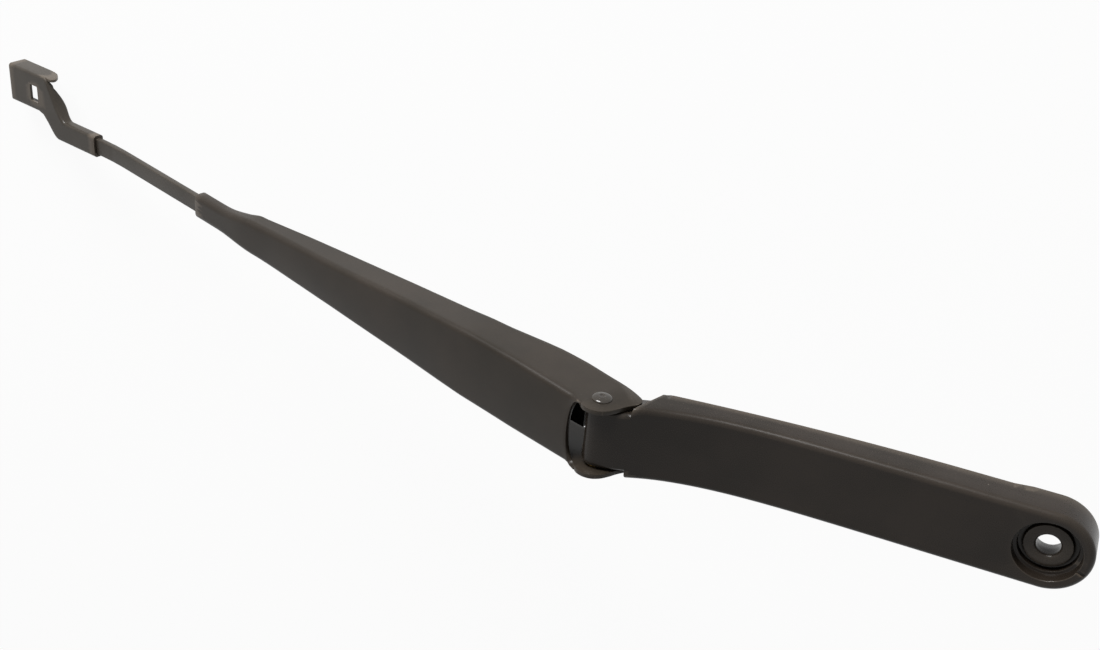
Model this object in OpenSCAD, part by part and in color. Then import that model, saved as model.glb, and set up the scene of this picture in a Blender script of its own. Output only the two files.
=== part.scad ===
// Windscreen wiper arm: cast head on the spindle, sprung hinge, tapered pressed channel,
// flat bar and a push-button blade adapter set off to one side.
// Millimetres. Origin on the spindle axis, where the bore meets its taper, +Z out of the
// glass, +X along the head towards the blade, +Y across. The arm is shown folded on its stop.

/* [Head] */
// Distance from the spindle axis to the arm hinge
hinge_x = 164.3; // [150:0.1:180]
// Height of the arm hinge above the recess lip
hinge_z = 8; // [6:0.1:10]
// Width of the head across its side walls
head_w = 32; // [30:0.5:36]
// Width of the head at the shoulder
shoulder_w = 31.6; // [30:0.2:34]
// Length of the step from the hinge back to the shoulder
shoulder_back = 12.6; // [12:0.1:15]
// Height of the top face at the shoulder
shoulder_z = 10.6; // [9:0.1:12]
// Height of the side wall at the spindle end
wall_drop = 13.8; // [11:0.1:16]
// Height of the side wall's rim below the lip at the shoulder
rim_end_drop = 5.4; // [2:0.1:7]
// Thickness of the head's side walls
head_wall = 2.8; // [2:0.1:4]
// Thickness of the head's top
head_top = 3; // [2.4:0.1:4]
// Radius of the head's upper edges
head_edge_r = 2.2; // [1:0.1:2.6]

/* [Spindle seat] */
// Radius of the nut recess
recess_r = 12; // [11:0.1:13]
// Depth of the nut recess
recess_depth = 4.4; // [3:0.1:5]
// Outer radius of the ring groove round the nut seat
groove_r = 10.6; // [9.6:0.1:11]
// Radius of the raised nut seat
seat_r = 8.5; // [7.5:0.1:9]
// Depth of the groove below the nut seat
groove_depth = 2.6; // [1:0.1:3.4]
// Radius of the spindle bore
bore_r = 4.3; // [3.5:0.05:5]
// Length of the straight part of the spindle bore
bore_len = 4.7; // [4:0.1:6]
// Radius of the tapered seat at its mouth
taper_r = 5.4; // [5.2:0.1:6.2]

/* [Hinge] */
// Width of the hinge tongue
tongue_w = 25.6; // [22:0.2:27]
// Radius of the tongue's nose round the hinge
nose_r = 5.4; // [5:0.1:5.6]
// Radius of the hinge rivet's shank
rivet_r = 3; // [2.6:0.05:3.2]
// Wall of the bush round the rivet
bush_wall = 0.75; // [0.6:0.05:0.9]
// How far the bush stands out of the tongue on each side
bush_proud = 0.4; // [0.3:0.05:0.6]
// Radius of the rivet's domed heads
rivet_head_r = 3.9; // [3.8:0.1:4.6]
// Height of the rivet's domed heads
rivet_head_h = 1.4; // [1:0.1:2]
// Distance from the hinge to the spring link's pin
link_pin_dist = 8.5; // [8.4:0.1:9]
// Radius of the spring link's pin
link_pin_r = 1.95; // [1.7:0.05:2.1]
// Width of the spring link
link_w = 12; // [8:0.5:14]

/* [Channel] */
// Slope of the channel below the head's plane, in degrees
fold_deg = 21.5; // [15:0.1:26]
// Thickness of the channel's sheet
sheet = 1.8; // [1.2:0.1:2.2]
// Height of the channel's web above the hinge
web_h = 8.2; // [7.8:0.1:8.8]
// Distance from the hinge to the end of the web
web_start = 8.8; // [7.4:0.1:10]
// Distance from the hinge to the channel's crimped end
channel_len = 250.5; // [230:0.5:280]
// Depth of the channel's sides below the hinge
flange_drop = 13.6; // [12:0.1:15]
// Crown of the channel's web
web_crown = 0.5; // [0.2:0.1:0.9]
// How far the web rises above its line by the crimped end
web_rise = 2.4; // [0.8:0.1:3]

/* [Bar and adapter] */
// Width of the flat bar
bar_w = 8.6; // [7:0.1:10]
// Thickness of the flat bar
bar_t = 3; // [2.5:0.1:3.5]
// Distance along the bar from the channel to the adapter
bar_free = 87.6; // [60:0.1:110]
// Slope of the adapter below the head's plane, in degrees
adapter_deg = 14.5; // [10:0.1:20]
// Length of the adapter's crimped sleeve
grip_len = 33; // [26:0.5:38]
// Thickness of the adapter's sheet
adapter_sheet = 1.3; // [1:0.1:1.4]
// Width of the blade plate over its sides
plate_w = 20.2; // [18:0.1:22]
// Length of the blade plate
plate_len = 30; // [26:0.5:36]
// Sideways step from the bar to the middle of the blade plate
plate_offset = 16; // [14.5:0.1:18]
// Depth of the blade plate's sides
plate_side = 9.2; // [8:0.1:11]
// Length of the button window along the arm
window_len = 6; // [5:0.1:8]
// Width of the button window
window_w = 9; // [7:0.1:10]

/* [Spring] */
// Radius of the spring wire
wire_r = 1.05; // [0.9:0.05:1.15]
// Outer radius of the spring's coils
coil_r = 4.8; // [4.4:0.1:4.9]
// Gap between the closed coils
coil_gap = 0.12; // [0.08:0.01:0.3]

/* [Hidden] */
$fn = 64;
coat = [0.16, 0.155, 0.15];
steel = [0.62, 0.62, 0.63];
brass = [0.72, 0.6, 0.36];

// Head. Its own heights are counted from the lip of the nut recess.
lip_z = recess_depth + bore_len;
head_r = head_w / 2;
shoulder_x = hinge_x - shoulder_back;
top_flat = 40;
top_power = 4.6;
rim_flat = 30;
rim_power = 2;
rim_step = 0.8;
seat_z = -recess_depth;
groove_z = seat_z - groove_depth;
taper_z = seat_z - bore_len;
tongue_h = tongue_w / 2;
shoulder_lean = 0.45;
hub_drop = 3.8;

// Hinge
bush_r = rivet_r + bush_wall;
run = 0.05;
ear_in = tongue_h + bush_proud + run;
ear_out = ear_in + sheet;
ear_set = 0.1;
ear_r = 8.8;
web_horn = 5.8;
web_corner_r = 4.5;
link_slot = link_w + 1.2;
link_eye_r = link_pin_r + 1.5;
link_rest_deg = 68.4;
lift_deg = 80;
link_ring_in = nose_r + 1;
link_ring_t = 2.8;
link_end = 2.9;
link_tab = 7;

// Position of the link pin, seen in the channel's own frame and in the head's frame
pin_u = -link_pin_dist * cos(link_rest_deg);
pin_w = -link_pin_dist * sin(link_rest_deg);
pin_x = hinge_x + pin_u * cos(fold_deg) + pin_w * sin(fold_deg);
pin_z = hinge_z - pin_u * sin(fold_deg) + pin_w * cos(fold_deg);

// Spring line, from the link's far hole to the hook hole in the bar
anchor_u = 92;
anchor_w = 1.2;
line_deg = atan2(anchor_w - pin_w, anchor_u - pin_u);
link_reach = 23;
hook_u = pin_u + link_reach * cos(line_deg);
hook_w = pin_w + link_reach * sin(line_deg);
coil_mid = coil_r - wire_r;
coil_pitch = 2 * wire_r + coil_gap;

// Bar
bar_deg = atan2(0.5, 73);
bar_in_sleeve = web_h + web_rise - sheet - 0.1;

function lerp(a, b, t) = a + (b - a) * t;
function clamp01(t) = min(1, max(0, t));
function ease(t) = let (k = clamp01(t)) k * k * (3 - 2 * k);

// Heights of the head's top face and of its lower rim along X
function head_top_z(x) = shoulder_z * pow(clamp01((x - top_flat) / (shoulder_x - top_flat)), top_power);
function head_rim_z(x) = -wall_drop + rim_step * ease((x - 6) / 8)
    + (wall_drop - rim_step - rim_end_drop) * pow(clamp01((x - rim_flat) / (shoulder_x - rim_flat)), rim_power);
function head_half_w(x) = lerp(head_r, shoulder_w / 2, pow(clamp01(x / shoulder_x), 2));

// Points of a quarter circle, from angle a to angle b
function arc_pts(cx, cy, r, a, b, n = 5) = [for (i = [0:n]) let (t = lerp(a, b, i / n)) [cx + r * cos(t), cy + r * sin(t)]];

// Closed skin through rings that all have the same number of points. Each ring runs
// counterclockwise for someone who looks back at it from the next one.
module skin(rings) {
    n = len(rings[0]);
    m = len(rings);
    sides = [for (j = [0:m - 2], i = [0:n - 1]) let (k = (i + 1) % n)
        each [[j * n + i, (j + 1) * n + i, (j + 1) * n + k], [j * n + i, (j + 1) * n + k, j * n + k]]];
    near = [for (i = [0:n - 1]) i];
    far = [for (i = [n - 1:-1:0]) (m - 1) * n + i];
    polyhedron([for (r = rings) each r], concat([near], sides, [far]));
}

// Closed skin of a folded sheet. Each ring holds the outer line and then the inner line of the
// same section, with as many points each.
module sheet_skin(rings) {
    n = len(rings[0]);
    m = len(rings);
    k = n / 2;
    // Position in a ring of point i on the way round: out along the outer line, back along the inner
    way = [for (i = [0:n - 1]) i < k ? i : n - 1 - (i - k)];
    sides = [for (j = [0:m - 2], i = [0:n - 1]) let (a = way[i], b = way[(i + 1) % n])
        each [[j * n + a, (j + 1) * n + a, (j + 1) * n + b], [j * n + a, (j + 1) * n + b, j * n + b]]];
    caps = [for (i = [0:k - 2]) let (far = (m - 1) * n)
        each [[i, i + 1, k + i + 1], [i, k + i + 1, k + i],
            [far + i, far + k + i + 1, far + i + 1], [far + i, far + k + i, far + k + i + 1]]];
    polyhedron([for (r = rings) each r], concat(sides, caps));
}

// Extrudes a profile drawn in the XZ plane by y on both sides of the middle
module across(y) {
    rotate([90, 0, 0]) linear_extrude(2 * y, center = true) children();
}

module at_hinge() {
    translate([hinge_x, 0, lip_z + hinge_z]) rotate([0, fold_deg, 0]) children();
}

// Plan outline of the head, set in from the edge: along one side, round the end and back
function head_outline(inset) = let (sides = 20, turn = 9,
    one = concat([for (i = [0:sides]) let (x = shoulder_x * (1 - i / sides)) [x, head_half_w(x) - inset]],
        [for (i = [1:turn]) let (t = 90 + 86 * i / turn) (head_r - inset) * [cos(t), sin(t)]]))
    concat(one, [for (i = [len(one) - 1:-1:0]) [one[i][0], -one[i][1]]]);

// The head's outline at each height, from the rim up round the edge to the top face
function head_level(t) = let (up = t < 0 ? 0 : sin(t), inset = t < 0 ? 0 : head_edge_r * (1 - cos(t)))
    [for (p = head_outline(inset)) let (x = p[0], top = head_top_z(x),
        z = t < 0 ? head_rim_z(x) : top - head_edge_r * (1 - up),
        lean = shoulder_lean * ease((x - shoulder_x + 12) / 12)) [x - lean * (top - z), p[1], z]];

module head_outside() {
    levels = [for (t = [-1, 0, 18, 36, 54, 72, 90]) head_level(t)];
    n = len(levels[0]);
    m = len(levels);
    sides = [for (j = [0:m - 2], i = [0:n - 1]) let (k = (i + 1) % n)
        each [[j * n + i, (j + 1) * n + i, (j + 1) * n + k], [j * n + i, (j + 1) * n + k, j * n + k]]];
    // The rim and the top are strips across, from each point to its twin on the other side
    caps = [for (i = [0:n / 2 - 2]) let (top = (m - 1) * n, twin = n - 1 - i)
        each [[i, i + 1, twin - 1], [i, twin - 1, twin],
            [top + i, top + twin - 1, top + i + 1], [top + i, top + twin, top + twin - 1]]];
    polyhedron([for (l = levels) each l], concat(sides, caps));
}

function hollow_ring(x) = let (half = head_half_w(x) - head_wall, top = head_top_z(x) - head_top, r = 1.2,
        open = head_rim_z(x) - 5)
    [for (p = concat([[half + 0.4, open]], arc_pts(half - r, top - r, r, 0, 90, 2),
        arc_pts(r - half, top - r, r, 90, 180, 2), [[-half - 0.4, open]])) [x, p[0], p[1]]];

module head_hollow() {
    steps = 12;
    bays = [recess_r + 3, 62, 104, shoulder_x - 9];
    for (i = [0:2]) skin([for (j = [0:steps]) hollow_ring(lerp(bays[i] + 1, bays[i + 1] - 1, j / steps))]);
}

module tongue_profile() {
    hull() {
        translate([hinge_x, hinge_z]) circle(nose_r);
        translate([pin_x, pin_z]) circle(link_pin_r + 2.2);
        translate([shoulder_x - 1, head_top_z(shoulder_x - 1) - 1.9]) circle(1.9);
        translate([shoulder_x - 6, head_rim_z(shoulder_x - 6) + 2]) circle(1.9);
    }
}

// Room for the spring link in the middle of the tongue, under its roof
module link_slot_profile() {
    difference() {
        polygon([[shoulder_x - 14, -20], [hinge_x + 20, -20], [hinge_x + 20, hinge_z + 12],
            [hinge_x + 2, hinge_z + 2], [shoulder_x + 4, shoulder_z - 3.6], [shoulder_x - 14, shoulder_z - 6]]);
        translate([hinge_x, hinge_z]) circle(nose_r - 0.2);
    }
    translate([pin_x, pin_z]) circle(link_eye_r + 0.4);
}

module arm_head() {
    color(coat) translate([0, 0, lip_z]) difference() {
        union() {
            difference() {
                union() {
                    head_outside();
                    across(tongue_h) tongue_profile();
                }
                head_hollow();
                translate([0, 0, head_rim_z(0) - 5]) cylinder(r = head_r - head_wall, h = 5 + hub_drop);
            }
            translate([0, 0, head_rim_z(0)]) cylinder(r = seat_r + 1, h = hub_drop + 1);
        }
        translate([0, 0, seat_z]) cylinder(r = recess_r, h = 20);
        translate([0, 0, groove_z]) difference() {
            cylinder(r = groove_r, h = 20);
            translate([0, 0, -1]) cylinder(r = seat_r, h = 40);
        }
        translate([0, 0, taper_z - 1]) cylinder(r = bore_r, h = 20);
        translate([0, 0, head_rim_z(0)]) cylinder(r1 = taper_r, r2 = bore_r, h = taper_z - head_rim_z(0));
        translate([0, 0, seat_z - 0.7]) cylinder(r1 = bore_r, r2 = bore_r + 0.8, h = 0.8);
        rotate([0, 0, 160]) translate([recess_r - 1, -0.8, -1]) cube([3.6, 1.6, 3]);
        across(link_slot / 2) link_slot_profile();
        translate([hinge_x, 0, hinge_z]) rotate([90, 0, 0]) cylinder(r = bush_r, h = tongue_w + 20, center = true);
        translate([pin_x, 0, pin_z]) rotate([90, 0, 0]) cylinder(r = link_pin_r, h = tongue_w + 20, center = true);
    }
}

module hinge_bush() {
    color(brass) translate([hinge_x, 0, lip_z + hinge_z]) rotate([90, 0, 0]) difference() {
        cylinder(r = bush_r, h = tongue_w + 2 * bush_proud, center = true);
        cylinder(r = rivet_r + run, h = tongue_w + 10, center = true);
    }
}

module link_pin() {
    color(steel) translate([pin_x, 0, lip_z + pin_z]) rotate([90, 0, 0])
        cylinder(r = link_pin_r, h = tongue_w - 0.8, center = true);
}

// Domed end of a rivet, standing on z = 0, with a shallow dimple at its middle
module rivet_end() {
    dome_r = (rivet_head_r * rivet_head_r + rivet_head_h * rivet_head_h) / (2 * rivet_head_h);
    difference() {
        intersection() {
            translate([0, 0, rivet_head_h - dome_r]) sphere(dome_r);
            cylinder(r = rivet_head_r, h = rivet_head_h);
        }
        translate([0, 0, rivet_head_h - 0.35]) cylinder(r1 = 0.3, r2 = 1, h = 0.5);
    }
}

module hinge_rivet() {
    color(coat) translate([hinge_x, 0, lip_z + hinge_z]) {
        rotate([90, 0, 0]) cylinder(r = rivet_r, h = 2 * ear_out, center = true);
        for (side = [90, -90]) rotate([side, 0, 0]) translate([0, 0, ear_out]) rivet_end();
    }
}

// Hooked link, drawn along its own line of pull: pin eye, bow round the tongue's nose, flat end
module link_profile() {
    bow = lift_line_gap();
    difference() {
        union() {
            circle(link_eye_r);
            intersection() {
                translate(bow) difference() {
                    circle(link_ring_in + link_ring_t);
                    circle(link_ring_in);
                }
                polygon([[-6, 0.6], [0, 0.6], bow, [bow[0] + 20, 1.4], [bow[0] + 20, -40], [-6, -40]]);
            }
            translate([bow[0] + link_ring_in + 0.4, -link_ring_t / 2])
                square([link_reach + link_end - bow[0] - link_ring_in - 0.4, link_ring_t]);
        }
        translate(bow) circle(link_ring_in);
        circle(link_pin_r + run);
    }
}

// Where the hinge stands in the link's frame when the arm is fully lifted
function lift_line_gap() = let (
        a = link_rest_deg - 180 - lift_deg,
        pu = link_pin_dist * cos(a), pw = link_pin_dist * sin(a),
        d = atan2(anchor_w - pw, anchor_u - pu))
    [-pu * cos(d) - pw * sin(d), pu * sin(d) - pw * cos(d)];

// The flat end narrows to a tab round the spring's hole
module link_corners() {
    for (side = [0, 1]) mirror([0, side, 0]) translate([0, 0, -link_ring_t]) linear_extrude(2 * link_ring_t)
        polygon([[link_reach - 7, link_w / 2 + 1], [link_reach - 7, link_w / 2], [link_reach - 2, link_tab / 2],
            [link_reach + link_end + 1, link_tab / 2], [link_reach + link_end + 1, link_w / 2 + 1]]);
}

module spring_link() {
    color(steel) at_hinge() translate([pin_u, 0, pin_w]) rotate([0, -line_deg, 0]) difference() {
        across(link_w / 2) link_profile();
        link_corners();
        translate([link_reach, 0, 0]) cylinder(r = wire_r + 0.3, h = 4 * link_ring_t, center = true);
    }
}

// Tube of the spring wire along a list of points, none of which runs along the side vector
function unit(v) = v / norm(v);
function frame_ring(p, t, side, r, n) = let (a = unit(cross(t, side)), b = cross(t, a))
    [for (i = [0:n - 1]) p + r * (cos(360 * i / n) * a + sin(360 * i / n) * b)];
module wire(pts, side) {
    last = len(pts) - 1;
    skin([for (i = [0:last]) let (t = unit(pts[min(last, i + 1)] - pts[max(0, i - 1)]))
        frame_ring(pts[i], t, side, wire_r, 6)]);
}

module tension_spring() {
    span = norm([anchor_u - hook_u, anchor_w - hook_w]);
    hook_len = coil_mid + 3.2;
    coil_len = span - 2 * hook_len;
    turns = floor(coil_len / coil_pitch - 0.5) + 0.5;
    per_turn = 12;
    start = (span - turns * coil_pitch) / 2;
    color(steel) at_hinge() translate([hook_u, 0, hook_w]) rotate([0, -line_deg, 0]) {
        wire([for (i = [0:turns * per_turn]) let (a = 90 + 360 * i / per_turn)
            [start + coil_pitch * i / per_turn, -coil_mid * cos(a), coil_mid * sin(a)]], [1, 0, 0]);
        spring_hook(start, link_ring_t / 2 + 0.3);
        translate([span, 0, 0]) mirror([1, 0, 0]) mirror([0, 0, 1]) spring_hook(start, bar_t / 2 + 0.3);
    }
}

// Hook through a hole at the origin, in a plate that is twice half thick, back to the first coil
module spring_hook(reach, half) {
    bend = wire_r + 0.2;
    h = half + wire_r + 0.15;
    line = concat([[3.4, h]], arc_pts(bend, h - bend, bend, 90, 180, 4), arc_pts(bend, bend - h, bend, 180, 270, 4),
        [[reach - 2, -coil_mid], [reach + wire_r * 0.6, -coil_mid]]);
    wire([for (p = line) [p[0], 0, -p[1]]], [0, 1, 0]);
}

// Half width, lower edge and top of the channel along its length
shoulder_half = ear_out + ear_set;
sleeve_half = bar_w / 2 + sheet + run;
function channel_half(u) = u < 206 ? lookup(u, [[8, shoulder_half], [40, shoulder_half + 0.6],
        [68, shoulder_half + 0.4], [112, 13.2], [150, 10.9], [206, 8.5]])
    : lerp(8.5, sleeve_half, ease((u - 206) / 28));
function channel_top(u) = web_h + web_rise * ease((u - 40) / 130);
function channel_low(u) = u < 206 ? lookup(u, [[0, -flange_drop], [20, -flange_drop - 0.6], [32, -flange_drop],
        [44, -flange_drop + 1.8], [58, -flange_drop + 3.8], [80, -7.9], [114, -6.1], [150, -4.2], [176, -2], [206, 1.4]])
    : lerp(1.4, channel_top(u) - bar_t - 2 * sheet - 0.1, ease((u - 206) / 22));
function channel_fold(u) = sheet + lerp(0.5, 1, clamp01(u / 200));
function channel_lip(u) = lerp(sheet + 0.15, bar_w / 2 + sheet - 0.3, ease((u - 208) / 20));

// Section of the channel across its length: outer line, then inner line, from lip to lip
function channel_ring(u) = let (half = channel_half(u), top = channel_top(u), low = channel_low(u),
        r = channel_fold(u), q = r - sheet + 0.1, in = half - sheet, lip = channel_lip(u), flat = half * 0.4,
        crown = web_crown * clamp01((226 - u) / 60), side = top - crown, mid = top - crown * 0.16)
    [for (p = concat(
        [[half - lip, low], [half, low]], arc_pts(half - r, side - r, r, 0, 90, 4),
        [[flat, mid], [-flat, mid]], arc_pts(r - half, side - r, r, 90, 180, 4), [[-half, low], [lip - half, low]],
        [[half - lip, low + sheet], [in, low + sheet]], arc_pts(in - q, side - sheet - q, q, 0, 90, 4),
        [[flat, mid - sheet], [-flat, mid - sheet]], arc_pts(q - in, side - sheet - q, q, 90, 180, 4),
        [[-in, low + sheet], [lip - half, low + sheet]])) [u, p[0], p[1]]];

module channel_body() {
    stations = concat([for (i = [0:24]) lerp(web_start - web_horn, 200, i / 24)],
        [for (i = [1:10]) lerp(200, 232, i / 10)], [channel_len]);
    difference() {
        sheet_skin([for (u = stations) channel_ring(u)]);
        linear_extrude(2 * web_h) web_notch();
    }
}

// Plan of the web's open end, with rounded corners between the two ears
module web_notch() {
    corner_y = ear_in - 0.2 - web_corner_r;
    hull() for (side = [-1, 1]) {
        translate([web_start - web_corner_r, side * corner_y]) circle(web_corner_r);
        translate([-20, side * corner_y]) circle(web_corner_r);
    }
}

module ear_profile() {
    root = web_start + 3;
    intersection() {
        hull() {
            translate([0, 0.4]) circle(ear_r);
            translate([-9.4, -flange_drop + 4.6]) circle(2.3);
            translate([-1.5, -flange_drop + 0.5]) circle(0.4);
            translate([root - 1, -flange_drop + 0.1]) square([1, flange_drop + web_h - 3.2]);
        }
        union() {
            translate([-30, -30]) square([30 + web_start - web_horn + 0.3, 60]);
            translate([-30, -30]) square([30 + root, 30 + web_h - 3.1]);
        }
    }
}

module arm_channel() {
    color(coat) at_hinge() difference() {
        union() {
            channel_body();
            for (side = [-1, 1]) translate([0, side * (ear_in + sheet / 2), 0]) across(sheet / 2) ear_profile();
        }
        rotate([90, 0, 0]) cylinder(r = rivet_r, h = 4 * ear_out, center = true);
    }
}

// Section of the flat bar with eased edges, at u along and w up in the plane of the arm
function bar_ring(u, w, tilt) = let (e = 0.8, a = bar_w / 2, b = bar_t)
    [for (p = [[a - e, -b], [a, -b + e], [a, -e], [a - e, 0], [-a + e, 0], [-a, -e], [-a, -b + e], [-a + e, -b]])
        [u + p[1] * -sin(tilt), p[0], w + p[1] * cos(tilt)]];

bend_u = channel_len + bar_free - 13;
bend_w = bar_in_sleeve + (bend_u - channel_len) * tan(bar_deg);
rise_deg = fold_deg - adapter_deg;
grip_u = bend_u + 13 * cos(rise_deg);
grip_w = bend_w + 13 * sin(rise_deg);

module blade_bar() {
    tail_u = anchor_u - 3.5;
    tail_deg = atan2(bar_in_sleeve - anchor_w - bar_t / 2, 226 - anchor_u);
    tail_w = bar_in_sleeve - (226 - tail_u) * tan(tail_deg);
    end = grip_len + 9;
    color(coat) at_hinge() difference() {
        skin([bar_ring(tail_u, tail_w, tail_deg), bar_ring(224, bar_in_sleeve - 2 * tan(tail_deg), tail_deg),
            bar_ring(228, bar_in_sleeve, 0), bar_ring(channel_len, bar_in_sleeve, 0),
            bar_ring(bend_u - 3, bend_w - 3 * tan(bar_deg), bar_deg),
            bar_ring(bend_u, bend_w, rise_deg / 2),
            bar_ring(bend_u + 3, bend_w + 3 * tan(rise_deg), rise_deg),
            bar_ring(bend_u + end * cos(rise_deg), bend_w + end * sin(rise_deg), rise_deg)]);
        translate([anchor_u, 0, 0]) cylinder(r = wire_r + 0.35, h = 20, center = true);
    }
}

// Plan of the adapter: s along the arm from the sleeve's open end, y across
plate_in = plate_offset - plate_w / 2;
plate_out = plate_offset + plate_w / 2;
plate_s = grip_len + 4;
plate_end = plate_s + plate_len;
plate_r = 2.4;
window_back = 7.2;
grip_half = bar_w / 2 + adapter_sheet + 0.05;
function neck_near(s) = lerp(grip_half, -plate_in, ease((s - grip_len + 3) / 14));
function neck_far(s) = let (t = clamp01((s - grip_len + 10) / 14)) -grip_half - (plate_out - grip_half) * t * t * (2 - t);

module adapter_web() {
    near = [for (i = [0:10]) let (s = lerp(grip_len - 3, grip_len + 11, i / 10)) [s, neck_near(s)]];
    far = [for (i = [10:-1:0]) let (s = lerp(grip_len - 10, plate_s, i / 10)) [s, neck_far(s)]];
    translate([0, 0, -adapter_sheet]) linear_extrude(adapter_sheet) difference() {
        polygon(concat([[grip_len - 10, grip_half - 1.2]], near,
            arc_pts(plate_end - plate_r, -plate_in - plate_r, plate_r, 90, 0),
            arc_pts(plate_end - plate_r, -plate_out + plate_r, plate_r, 0, -90), far));
        translate([plate_s + window_back, -plate_offset - window_w / 2 + 1]) square([window_len, window_w]);
    }
}

// Strip of the sheet's thickness along a line of points, on its left or right
module strip(pts, side) {
    last = len(pts) - 1;
    in = [for (i = [last:-1:0]) let (d = unit(pts[min(last, i + 1)] - pts[max(0, i - 1)]))
        pts[i] + side * adapter_sheet * [-d[1], d[0]]];
    polygon(concat(pts, in));
}

module adapter_sleeve() {
    tall = bar_t + 2 * adapter_sheet + 0.1;
    rotate([90, 0, 90]) linear_extrude(grip_len) difference() {
        translate([-grip_half, -tall]) square([2 * grip_half, tall]);
        translate([-bar_w / 2 - 0.05, -tall + adapter_sheet]) square([bar_w + 0.1, bar_t + 0.1]);
        translate([-0.4, -tall - 1]) square([0.8, 3]);
    }
}

// Sides of the neck, which hang from the web's edges and run into the sleeve and the plate
module neck_walls() {
    tall = bar_t + 2 * adapter_sheet + 0.1;
    near = [for (i = [0:10]) let (s = lerp(grip_len - 3, grip_len + 11, i / 10)) [s, neck_near(s)]];
    far = [for (i = [0:10]) let (s = lerp(grip_len - 10, plate_s - 0.6, i / 10)) [s, neck_far(s)]];
    intersection() {
        translate([0, 0, -plate_side]) linear_extrude(plate_side) strip(near, -1);
        across(plate_out) polygon([[0, 0], [0, -tall], [grip_len - 2, -tall], [grip_len + 8, -plate_side],
            [plate_end, -plate_side], [plate_end, 0]]);
    }
    intersection() {
        translate([0, 0, -plate_side]) linear_extrude(plate_side) strip(far, 1);
        across(plate_out) polygon([[0, 0], [0, -tall], [grip_len - 8, -tall - 0.3], [grip_len - 3, -tall - 1.1],
            [grip_len, -tall - 0.5], [grip_len + 2, -tall + 0.6], [plate_s - 0.4, -3.6], [plate_s, -3], [plate_s, 0]]);
    }
}

module tip_adapter() {
    color(coat) at_hinge() translate([grip_u, 0, grip_w]) rotate([0, -rise_deg, 0])
        translate([0, 0, adapter_sheet + 0.05]) {
            adapter_sleeve();
            adapter_web();
            neck_walls();
            translate([grip_len + 10.2, -plate_in - adapter_sheet, -plate_side])
                cube([plate_end - plate_r - grip_len - 10.2, adapter_sheet, plate_side]);
            translate([0, -plate_out + adapter_sheet / 2, 0]) across(adapter_sheet / 2) polygon(concat(
                [[plate_s + 0.6, 0], [plate_s - 2.2, -1.2], [plate_s - 3.3, -3]],
                arc_pts(plate_s + 1.6, -plate_side + 5, 5, 180, 270),
                arc_pts(plate_end - plate_r - 2, -plate_side + 2, 2, 270, 360, 4), [[plate_end - plate_r, 0]]));
        }
}

arm_head();
hinge_bush();
link_pin();
hinge_rivet();
spring_link();
tension_spring();
arm_channel();
blade_bar();
tip_adapter();
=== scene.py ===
"""Looks of a car's windscreen wiper arm: cast head, pressed channel, flat bar and blade adapter."""

import math

import bmesh
import bpy
from mathutils import Matrix, Vector


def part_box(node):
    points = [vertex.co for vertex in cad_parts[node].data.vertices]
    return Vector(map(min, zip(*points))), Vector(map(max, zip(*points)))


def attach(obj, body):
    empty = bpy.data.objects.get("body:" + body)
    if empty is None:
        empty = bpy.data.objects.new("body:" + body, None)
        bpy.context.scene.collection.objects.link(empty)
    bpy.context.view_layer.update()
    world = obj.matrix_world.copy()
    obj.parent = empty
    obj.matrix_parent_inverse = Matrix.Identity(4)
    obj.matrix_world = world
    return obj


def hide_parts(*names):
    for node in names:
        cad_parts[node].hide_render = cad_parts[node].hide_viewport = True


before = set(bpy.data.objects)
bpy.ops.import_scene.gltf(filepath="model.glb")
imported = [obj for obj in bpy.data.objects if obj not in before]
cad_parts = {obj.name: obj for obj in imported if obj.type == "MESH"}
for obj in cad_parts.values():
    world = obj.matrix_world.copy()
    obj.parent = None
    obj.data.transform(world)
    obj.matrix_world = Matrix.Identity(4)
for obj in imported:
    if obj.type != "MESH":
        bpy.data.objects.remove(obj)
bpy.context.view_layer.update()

MM = 0.001

# Sizes of the arm in millimetres, as the frame has them
BORE_TO_LIP = 9.1
HINGE_X = 164.3
HINGE_Z = 17.1
HEAD_R = 16.0
HEAD_EDGE_R = 2.4
EDGE_BEAD = 0.28
SHOULDER_X = 151.7
SHOULDER_HALF = 15.8
SHOULDER_RISE = 10.6
WALL_DROP = 13.8
RIM_END_DROP = 5.4
HEAD_WALL = 2.8
HEAD_TOP = 3.0
RECESS_R = 12.0
BORE_R = 4.3
TAPER_R = 5.4
HUB_R = 9.5
FOLD_DEG = 21.5
SHEET = 1.8
WEB_H = 8.2
WEB_RISE = 2.4
CHANNEL_LEN = 250.5
EAR_OUT = 15.15
BAR_W = 8.6
BAR_T = 3.0
BAR_FREE = 87.6
BEND_TO_GRIP = 13
ADAPTER_DEG = 14.5
ADAPTER_SHEET = 1.3
GRIP_LEN = 33.0
PLATE_LEN = 30.0
PLATE_IN = 5.9
PLATE_OUT = 26.1
PLATE_SIDE = 9.2


def lerp(a, b, t):
    return a + (b - a) * t


def clamp01(t):
    return min(1.0, max(0.0, t))


def ease(t):
    k = clamp01(t)
    return k * k * (3 - 2 * k)


def table_at(points, x):
    """Value at x on the broken line through (x, value) points."""
    for (x0, v0), (x1, v1) in zip(points, points[1:]):
        if x <= x1:
            return lerp(v0, v1, clamp01((x - x0) / (x1 - x0)))
    return points[-1][1]


def arc(cx, cy, r, start, stop, steps):
    """Points of an arc in degrees, both ends included."""
    angles = [math.radians(lerp(start, stop, i / steps)) for i in range(steps + 1)]
    return [(cx + r * math.cos(a), cy + r * math.sin(a)) for a in angles]


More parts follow.
